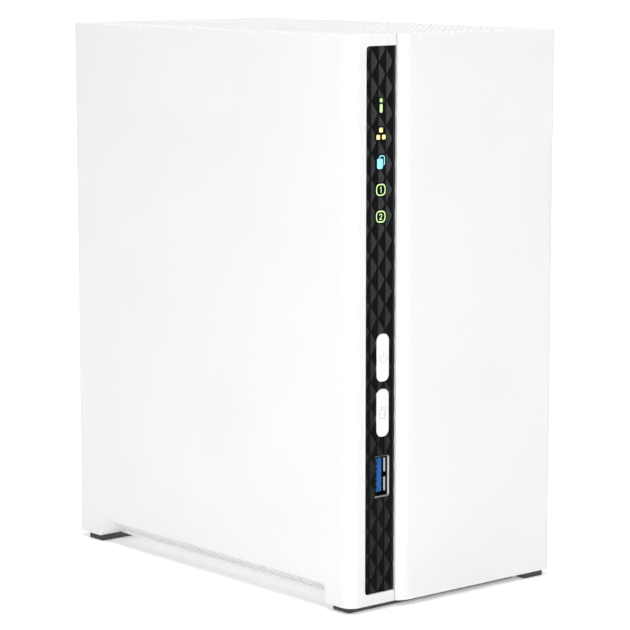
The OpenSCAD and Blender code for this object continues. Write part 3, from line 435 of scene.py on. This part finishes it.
def rounded_outline(middle, size, radius, steps=5):
    """Points of a rounded rectangle, anticlockwise, in two dimensions."""
    half = (size[0] / 2 - radius, size[1] / 2 - radius)
    points = []
    for quarter, (sx, sy) in enumerate(((1, 1), (-1, 1), (-1, -1), (1, -1))):
        for i in range(steps + 1):
            angle = math.pi / 2 * (quarter + i / steps)
            points.append((
                middle[0] + sx * half[0] + radius * math.cos(angle),
                middle[1] + sy * half[1] + radius * math.sin(angle),
            ))
    return points


def lay_out(point, depth, axis):
    """Point of an outline at a depth along axis: an outline in X and Z along Y, in Y and Z along X."""
    if axis == "Y":
        return Vector((point[0], depth, point[1])) * MM
    if axis == "X":
        return Vector((depth, point[0], point[1])) * MM
    return Vector((point[0], point[1], depth)) * MM


def add_prism(bm, outline, start, end, axis="Y", hole=None):
    """A closed prism of an outline, with a hole that has as many points, if one is given."""
    rings = []
    for points in [outline] + ([hole] if hole else []):
        near = [bm.verts.new(lay_out(p, start, axis)) for p in points]
        far = [bm.verts.new(lay_out(p, end, axis)) for p in points]
        rings.append((near, far))
        count = len(points)
        for i in range(count):
            j = (i + 1) % count
            bm.faces.new((near[i], near[j], far[j], far[i]))
    if hole:
        (near, far), (near_in, far_in) = rings
        count = len(outline)
        for i in range(count):
            j = (i + 1) % count
            bm.faces.new((near[i], near_in[i], near_in[j], near[j]))
            bm.faces.new((far[i], far[j], far_in[j], far_in[i]))
    else:
        near, far = rings[0]
        bm.faces.new(near)
        bm.faces.new(far)


def finish_mesh(bm, name, finish=None, smooth_angle=None):
    """Turns a bmesh into an object, its normals outwards, smooth over edges below smooth_angle."""
    bmesh.ops.recalc_face_normals(bm, faces=bm.faces)
    if smooth_angle is not None:
        for face in bm.faces:
            face.smooth = True
        limit = math.radians(smooth_angle)
        for edge in bm.edges:
            edge.smooth = len(edge.link_faces) == 2 and edge.calc_face_angle(0) < limit
    mesh = bpy.data.meshes.new(name)
    bm.to_mesh(mesh)
    bm.free()
    o = bpy.data.objects.new(name, mesh)
    bpy.context.scene.collection.objects.link(o)
    if finish:
        mesh.materials.append(finish.material)
    return o


def place(o, body, replaced=()):
    """Puts a finished piece on its body and hides the CAD nodes it replaces."""
    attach(o, body)
    if replaced:
        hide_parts(*replaced)
    return o


def bevelled(o, width, segments=2, angle=40):
    """Adds a small bevel modifier to a Blender piece and shades it smooth."""
    bevel = o.modifiers.new("bevel", "BEVEL")
    bevel.width = width * MM
    bevel.segments = segments
    bevel.limit_method = "ANGLE"
    bevel.angle_limit = math.radians(angle)
    normals = o.modifiers.new("normals", "WEIGHTED_NORMAL")
    normals.keep_sharp = False
    for polygon in o.data.polygons:
        polygon.use_smooth = True
    return o


def boolean(o, cutter, operation):
    """Replaces o's mesh with the exact result and removes the cutter."""
    modifier = o.modifiers.new("boolean", "BOOLEAN")
    modifier.operation = operation
    modifier.object = cutter
    modifier.solver = "EXACT"
    bpy.context.view_layer.update()
    evaluated = o.evaluated_get(bpy.context.evaluated_depsgraph_get())
    mesh = bpy.data.meshes.new_from_object(evaluated)
    o.modifiers.clear()
    o.data = mesh
    bpy.data.objects.remove(cutter)


def loose_boxes(node):
    """Box of each separate solid of a CAD node, in millimetres."""
    bm = bmesh.new()
    bm.from_mesh(nodes[node].data)
    bmesh.ops.remove_doubles(bm, verts=bm.verts, dist=0.002 * MM)
    left, boxes = set(bm.verts), []
    while left:
        todo, island = [left.pop()], []
        while todo:
            vert = todo.pop()
            island.append(vert.co / MM)
            for edge in vert.link_edges:
                other = edge.other_vert(vert)
                if other in left:
                    left.discard(other)
                    todo.append(other)
        boxes.append((
            Vector(min(v[k] for v in island) for k in range(3)),
            Vector(max(v[k] for v in island) for k in range(3)),
        ))
    bm.free()
    return boxes


# ---------------------------------------------------------------- front strip

strip_low, strip_high = box_mm("front_strip")
strip_y = strip_low.y
symbols_low, symbols_high = box_mm("status_lens")
control_x = (symbols_low.x + symbols_high.x) / 2
FACET_W = 6.4  # width of a diamond
FACET_H = 8.28  # height of a diamond
FACET_FALL = 0.28  # how far a diamond's sides lie behind its upright ridge
RIDGE_DEPTH = 0.05  # the ridges' depth behind the symbols' faces
GROOVE = 0.13  # width of the gap between diamonds
GROOVE_EXTRA = 0.07  # how much deeper the gaps are than the diamonds' sides


def add_diamond(bm, x, z, half_w, half_h, front, fall, back):
    """A closed block with a diamond outline: two flat facets that meet in an upright ridge."""
    top, right, bottom, left = ((x, z + half_h), (x + half_w, z), (x, z - half_h), (x - half_w, z))
    ridge_top = bm.verts.new(lay_out(top, front, "Y"))
    ridge_bottom = bm.verts.new(lay_out(bottom, front, "Y"))
    side_right = bm.verts.new(lay_out(right, front + fall, "Y"))
    side_left = bm.verts.new(lay_out(left, front + fall, "Y"))
    behind = [bm.verts.new(lay_out(p, back, "Y")) for p in (top, right, bottom, left)]
    bm.faces.new((ridge_top, ridge_bottom, side_right))
    bm.faces.new((ridge_top, side_left, ridge_bottom))
    bm.faces.new(behind)
    rim = (ridge_top, side_right, ridge_bottom, side_left)
    for i in range(4):
        j = (i + 1) % 4
        bm.faces.new((rim[i], rim[j], behind[j], behind[i]))


def facet_cutter():
    """What is taken off the strip's face: all but the diamonds and the flat rims of the symbols."""
    floor = strip_y + RIDGE_DEPTH + FACET_FALL + GROOVE_EXTRA
    bm = bmesh.new()
    span_x = (strip_low.x - FACET_W, strip_high.x + FACET_W)
    span_z = (strip_low.z - FACET_H, strip_high.z + FACET_H)
    middle = (sum(span_x) / 2, sum(span_z) / 2)
    size = (span_x[1] - span_x[0], span_z[1] - span_z[0])
    add_prism(bm, rounded_outline(middle, size, 1.0), strip_y - 1, floor)
    cutter = finish_mesh(bm, "cutter")

    bm = bmesh.new()
    phase_x = control_x + 2.2
    phase_z = strip_high.z - 2.41
    shrink = GROOVE / 2 * math.hypot(FACET_W, FACET_H)
    for column in range(-4, 4):
        x = phase_x + column * FACET_W / 2
        for row in range(-1, math.ceil(size[1] / FACET_H)):
            z = phase_z - (row + 0.5 + 0.5 * (column % 2)) * FACET_H
            add_diamond(bm, x, z, FACET_W / 2 - shrink / FACET_H, FACET_H / 2 - shrink / FACET_W,
                        strip_y + RIDGE_DEPTH, FACET_FALL, floor + 0.3)
    boolean(cutter, finish_mesh(bm, "diamonds"), "DIFFERENCE")

    rim = 0.45
    for name in ("status_lens", "lan_lens", "copy_lens", "drive_lenses"):
        radius = 2.0 if name == "drive_lenses" else rim + 0.35
        for low, high in loose_boxes(name):
            if name == "drive_lenses" and high.x - low.x < 3:
                continue
            outline = rounded_outline(((low.x + high.x) / 2, (low.z + high.z) / 2),
                                      (high.x - low.x + 2 * rim, high.z - low.z + 2 * rim), radius)
            bm = bmesh.new()
            add_prism(bm, outline, strip_y - 2, floor + 0.2)
            boolean(cutter, finish_mesh(bm, "rim"), "DIFFERENCE")
    return cutter


def facet_strip():
    """The black strip with its diamond facets, on the CAD strip's own plate."""
    bm = bmesh.new()
    bm.from_mesh(nodes["front_strip"].data)
    bmesh.ops.remove_doubles(bm, verts=bm.verts, dist=0.002 * MM)
    strip = finish_mesh(bm, "facet_strip")
    boolean(strip, facet_cutter(), "DIFFERENCE")
    strip.data.materials.clear()
    strip.data.materials.append(STRIP.material)
    for polygon in strip.data.polygons:
        polygon.use_smooth = False
        polygon.material_index = 0
    return place(strip, "case", ["front_strip"])


# ---------------------------------------------------------------- button symbols


def add_stroke(bm, points, width, y0, y1, closed=False):
    """A flat line of even width through points in X and Z, mitred at its corners."""
    count = len(points)
    left, right = [], []
    for i, point in enumerate(points):
        before = points[i - 1] if closed or i else point
        after = points[(i + 1) % count] if closed or i < count - 1 else point
        run = Vector((after[0] - before[0], after[1] - before[1])).normalized()
        side = Vector((-run.y, run.x)) * width / 2
        left.append((point[0] + side.x, point[1] + side.y))
        right.append((point[0] - side.x, point[1] - side.y))
    if closed:
        add_prism(bm, left, y0, y1, hole=right)
    else:
        add_prism(bm, left + right[::-1], y0, y1)


def arc(middle, radius, start, end, steps=24):
    """Points on an arc, angles in degrees from +X towards +Z."""
    turn = [math.radians(start + (end - start) * i / steps) for i in range(steps + 1)]
    return [(middle[0] + radius * math.cos(t), middle[1] + radius * math.sin(t)) for t in turn]


def button_symbols():
    """Thin printed marks: a generic on/off sign, and two sheets of paper."""
    line, ink = 0.2, 0.02
    marks = (("power_button", "power_symbol", "power_key"), ("copy_button", "copy_symbol", "copy_key"))
    for node, name, body in marks:
        low, high = box_mm(node)
        x, z = (low.x + high.x) / 2, (low.z + high.z) / 2
        span = (low.y - ink, low.y + ink)
        bm = bmesh.new()
        if name == "power_symbol":
            add_stroke(bm, arc((x, z - 0.1), 1.45, -235, 55), line, *span)
            add_stroke(bm, [(x, z + 0.2), (x, z + 1.75)], line, *span)
        else:
            front = rounded_outline((x - 0.4, z - 0.35), (2.1, 2.9), 0.4)
            behind = [(x + 0.65, z - 0.95), (x + 1.3, z - 0.95), (x + 1.3, z + 1.85), (x - 0.8, z + 1.85),
                      (x - 0.8, z + 1.1)]
            add_stroke(bm, front, line, *span, closed=True)
            add_stroke(bm, behind, line, *span)
        place(finish_mesh(bm, name, INK), body)


# ---------------------------------------------------------------- front USB socket


def add_loft(bm, rings):
    """A closed skin through outlines at depths along Y, capped at both ends."""
    loops = [[bm.verts.new(lay_out(p, depth, "Y")) for p in points] for points, depth in rings]
    for before, after in zip(loops, loops[1:]):
        for i in range(len(before)):
            j = (i + 1) % len(before)
            bm.faces.new((before[i], before[j], after[j], after[i]))
    bm.faces.new(loops[0])
    bm.faces.new(loops[-1])


def shrunk(low, high, left, right, ends, radius):
    """Rounded outline inside a box in X and Z, in from each side by its own amount."""
    x0, x1, z0, z1 = low.x + left, high.x - right, low.z + ends, high.z - ends
    return rounded_outline(((x0 + x1) / 2, (z0 + z1) / 2), (x1 - x0, z1 - z0), radius)


def front_usb():
    """Socket with a flared bright lip, a black liner of painted shade in its bore, two springs and a
    notched blue tongue.
    """
    low, high = box_mm("front_usb_shell")
    lip_w = high.x - box_mm("main_board")[0].x
    flare_y, step_y, lip_back = low.y + 0.35, low.y + 0.4, low.y + 1.05
    skin = 0.38
    tube = shrunk(low, high, 0, lip_w, 0.15, 0.4)
    lip = shrunk(low, high, 0, 0, 0, 0.5)
    mouth = shrunk(low, high, 0.12, 0.1, 0.12, 0.45)
    throat = shrunk(low, high, skin, lip_w, 0.5, 0.4)
    bore = shrunk(low, high, skin, lip_w + skin, 0.5, 0.35)
    bm = bmesh.new()
    add_loft(bm, [(tube, high.y), (tube, lip_back), (lip, lip_back), (lip, low.y), (mouth, low.y),
                  (throat, flare_y), (throat, step_y), (bore, step_y), (bore, high.y - 0.4)])
    place(bevelled(finish_mesh(bm, "usb_shell", SOCKET), 0.03), "case", ["front_usb_shell"])

    # A thin black sheet over the bore's inner walls: painted shade where the metal inside lies in shadow
    shade_liner_t = 0.1
    inside = shrunk(low, high, skin + shade_liner_t, lip_w + skin + shade_liner_t, 0.5 + shade_liner_t, 0.35)
    bm = bmesh.new()
    add_loft(bm, [(bore, high.y - 0.42), (bore, step_y + 0.01), (throat, step_y + 0.01),
                  (throat, flare_y + 0.01), (inside, flare_y + 0.01), (inside, high.y - 0.6)])
    place(finish_mesh(bm, "usb_shade_liner", SHADE_LINER, 30), "case")

    bm = bmesh.new()
    wall_x = high.x - lip_w - skin - shade_liner_t
    middle_z = (low.z + high.z) / 2
    for side in (-1, 1):
        spring = [(wall_x, low.y + 0.84), (wall_x - 0.55, low.y + 1.14), (wall_x - 0.55, low.y + 4.5),
                  (wall_x, low.y + 4.8)]
        z = middle_z + 0.38 + side * 3.18
        add_prism(bm, spring, z - 2.32, z + 2.32, "Z")
    place(bevelled(finish_mesh(bm, "usb_springs", SOCKET), 0.05), "case")

    tongue_low, tongue_high = box_mm("front_usb_tongue")
    bm = bmesh.new()
    count, pitch = 5, 2.0
    notch = (0.45, 1.4)
    left, middle_z = tongue_low.x, (tongue_low.z + tongue_high.z) / 2
    notch_z = [middle_z + (count // 2 - i) * pitch for i in range(count)]
    points = [(left, tongue_low.z), (tongue_high.x, tongue_low.z), (tongue_high.x, tongue_high.z),
              (left, tongue_high.z)]
    for z in notch_z:
        points += [(left, z + notch[1] / 2), (left + notch[0], z + notch[1] / 2),
                   (left + notch[0], z - notch[1] / 2), (left, z - notch[1] / 2)]
    add_prism(bm, points, tongue_low.y, tongue_high.y)
    tongue = bevelled(finish_mesh(bm, "usb_tongue", TONGUE), 0.06)
    place(tongue, "case", ["front_usb_tongue"])

    bm = bmesh.new()
    for z in notch_z:
        outline = rounded_outline((left + notch[0] - 0.08, z), (0.3, notch[1] * 0.75), 0.1, 2)
        add_prism(bm, outline, tongue_low.y + 0.15, tongue_low.y + 9)
    place(finish_mesh(bm, "usb_contacts", GOLD, 30), "case")


# ---------------------------------------------------------------- rear sockets and inside details


def rear_contacts():
    """Contacts in the rear USB sockets and the network jack."""
    bm = bmesh.new()
    for low, high in loose_boxes("rear_usb_tongues"):
        for i in range(4):
            z = low.z + (high.z - low.z) * (i + 0.5) / 4
            outline = rounded_outline((low.x - 0.04, z), (0.2, 1.2), 0.08, 2)
            add_prism(bm, outline, high.y - 9, high.y - 0.7)
    low, high = box_mm("network_jack")
    floor_x, mouth_y = high.x - 3.3, high.y
    middle_z = (low.z + high.z) / 2
    for i in range(8):
        z = middle_z + (i - 3.5) * 1.02
        bm_outline = rounded_outline((floor_x - 0.55, z), (0.42, 0.42), 0.15, 2)
        add_prism(bm, bm_outline, mouth_y - 11.5, mouth_y - 3.5)
    place(finish_mesh(bm, "rear_contacts", GOLD, 30), "case")

    bm = bmesh.new()
    for side in (-1, 1):
        outline = rounded_outline((low.x + 1.9, middle_z + side * 5.6), (1.7, 2.6), 0.3)
        add_prism(bm, outline, mouth_y - 0.6, mouth_y + 0.05)
    place(bevelled(finish_mesh(bm, "network_lamps", LED), 0.08), "case")


def drive_labels():
    """A blank label with a coloured band on each drive's lid."""
    for number in (1, 2):
        low, high = box_mm(f"drive_{number}_lid")
        middle = ((low.y + high.y) / 2 + 4, low.z + 42)
        size = (72, 58)
        bm = bmesh.new()
        add_prism(bm, rounded_outline(middle, size, 3), high.x - 0.02, high.x + 0.06, "X")
        place(finish_mesh(bm, f"drive_{number}_label", LABEL, 30), "case")
        bm = bmesh.new()
        band = (middle[0], middle[1] + size[1] / 2 - 8)
        add_prism(bm, rounded_outline(band, (size[0] - 6, 9), 1), high.x + 0.05, high.x + 0.09, "X")
        place(finish_mesh(bm, f"drive_{number}_label_band", LABEL_BAND, 30), "case")


def backplane_parts():
    """Small surface parts in rows on the backplane."""
    low, high = box_mm("backplane")
    bm = bmesh.new()
    for row in range(3):
        for i in range(12):
            x = low.x + 30 + row * 2.4
            y = low.y + 8 + i * 5.2
            outline = rounded_outline((x, y), (1.0, 1.8), 0.15, 1)
            add_prism(bm, outline, high.z - 0.02, high.z + 0.7, "Z")
    place(finish_mesh(bm, "backplane_parts", CREAM, 30), "case")


# ---------------------------------------------------------------- stage


def stage_floor():
    """A wide pale floor, which the camera alone sees glow brighter towards the horizon."""
    bm = bmesh.new()
    bmesh.ops.create_grid(bm, x_segments=8, y_segments=8, size=14)
    floor = finish_mesh(bm, "floor")
    glow = 0.44
    seen_near, seen_far = 0.2, 0.75
    finish = Finish("floor_white", srgb(250, 250, 250), 0.6, specular=0.2)
    finish.tint(finish.noise(400, 2.0), srgb(247, 247, 248)).glow((1, 1, 1, 1), glow)
    reach = finish.nodes.new("ShaderNodeVectorMath")
    reach.operation = "LENGTH"
    finish.links.new(finish.place, reach.inputs[0])
    seen = finish.nodes.new("ShaderNodeLightPath").outputs["Is Camera Ray"]
    haze = finish.spread(reach.outputs["Value"], seen_near - glow, seen_far - glow, 0.25, 1.2)
    strength = finish.calc("ADD", finish.calc("MULTIPLY", seen, haze), glow)
    finish.links.new(strength, finish.shader.inputs["Emission Strength"])
    floor.data.materials.append(finish.material)
    floor.visible_glossy = False


def area_light(name, aim, azimuth, elevation, distance, size, power):
    """A square soft light that looks at aim; azimuth 0 is in front, 90 is on the right."""
    light = bpy.data.lights.new(name, "AREA")
    light.shape = "RECTANGLE"
    light.size, light.size_y = size
    light.energy = power
    o = bpy.data.objects.new(name, light)
    bpy.context.scene.collection.objects.link(o)
    a, e = math.radians(azimuth), math.radians(elevation)
    away = Vector((math.sin(a) * math.cos(e), -math.cos(a) * math.cos(e), math.sin(e)))
    o.location = aim + away * distance
    o.rotation_mode = "QUATERNION"
    o.rotation_quaternion = away.to_track_quat("Z", "Y")
    o.visible_glossy = False


def reflector(name, aim, azimuth, elevation, distance, size, brightness):
    """A card that only reflections see: brightness at its foot and at its head, even beyond the fade."""
    bm = bmesh.new()
    bmesh.ops.create_grid(bm, x_segments=1, y_segments=1, size=0.5)
    card = finish_mesh(bm, name)
    a, e = math.radians(azimuth), math.radians(elevation)
    away = Vector((math.sin(a) * math.cos(e), -math.cos(a) * math.cos(e), math.sin(e)))
    card.location = aim + away * distance
    card.rotation_mode = "QUATERNION"
    card.rotation_quaternion = away.to_track_quat("Z", "Y")
    card.scale = (size[0], size[1], 1)
    finish = Finish(name, (0, 0, 0, 1), 1.0, specular=0.0).glow((1, 1, 1, 1), brightness[1])
    axes = finish.nodes.new("ShaderNodeSeparateXYZ")
    finish.links.new(finish.place, axes.inputs["Vector"])
    finish.vary("Emission Strength", axes.outputs["Y"], *brightness, -0.07, 0.06)
    card.data.materials.append(finish.material)
    card.visible_camera = False
    card.visible_diffuse = False
    card.visible_shadow = False
    card.visible_transmission = False


def studio():
    low, high = cad_box
    middle = (low + high) / 2
    world = bpy.data.worlds.new("studio")
    bpy.context.scene.world = world
    world.use_nodes = True
    background = world.node_tree.nodes["Background"]
    background.inputs["Color"].default_value = (1, 1, 1, 1)
    # The camera sees the sky white, and it lights the object only dimly
    seen = world.node_tree.nodes.new("ShaderNodeLightPath").outputs["Is Camera Ray"]
    strength = world.node_tree.nodes.new("ShaderNodeMapRange")
    strength.inputs["To Min"].default_value = 0.36
    strength.inputs["To Max"].default_value = 1.0
    world.node_tree.links.new(seen, strength.inputs["Value"])
    world.node_tree.links.new(strength.outputs["Result"], background.inputs["Strength"])
    area_light("key", middle, -45, -2, 0.6, (0.3, 0.35), 1.3)
    area_light("top", middle, -20, 88, 1.3, (0.9, 0.9), 17.0)
    reflector("shade", middle, 18, -8, 1.2, (0.68, 1.6), (0.08, 0.08))
    reflector("flag", middle, 40.5, -8, 1.2, (0.26, 1.6), (0.0, 0.0))
    reflector("fill", middle, -40, -4, 1.2, (1.2, 1.6), (1.1, 1.1))
    reflector("card", middle, 69, -8, 1.2, (0.92, 1.6), (0.6, 1.35))


def camera():
    """The photograph's view: from the front left, a little above, with a long lens."""
    azimuth, elevation = math.radians(-40.216), math.radians(8.392)
    data = bpy.data.cameras.new("camera")
    data.sensor_width = 36
    data.lens = 147.93
    o = bpy.data.objects.new("camera", data)
    bpy.context.scene.collection.objects.link(o)
    back = Vector((math.sin(azimuth) * math.cos(elevation), -math.cos(azimuth) * math.cos(elevation),
                   math.sin(elevation)))
    right = Vector((math.cos(azimuth), math.sin(azimuth), 0))
    up = back.cross(right)
    o.matrix_world = Matrix((right, up, back)).transposed().to_4x4()
    o.location = Vector((-583.67, -695.57, 220.40)) * MM
    bpy.context.scene.camera = o


apply_finishes()
round_edges(["power_button", "copy_button"], 0.5, segments=4)
round_edges(["rear_panel_screws", "cover_screw_1", "cover_screw_2", "cover_screw_3", "fan_screws",
             "drive_screws", "cage_screws"], 0.15)
round_edges(["case_feet", "cover_feet"], 0.25)
facet_strip()
button_symbols()
front_usb()
rear_contacts()
drive_labels()
backplane_parts()
stage_floor()
studio()
camera()
bpy.context.scene.view_settings.view_transform = "Standard"
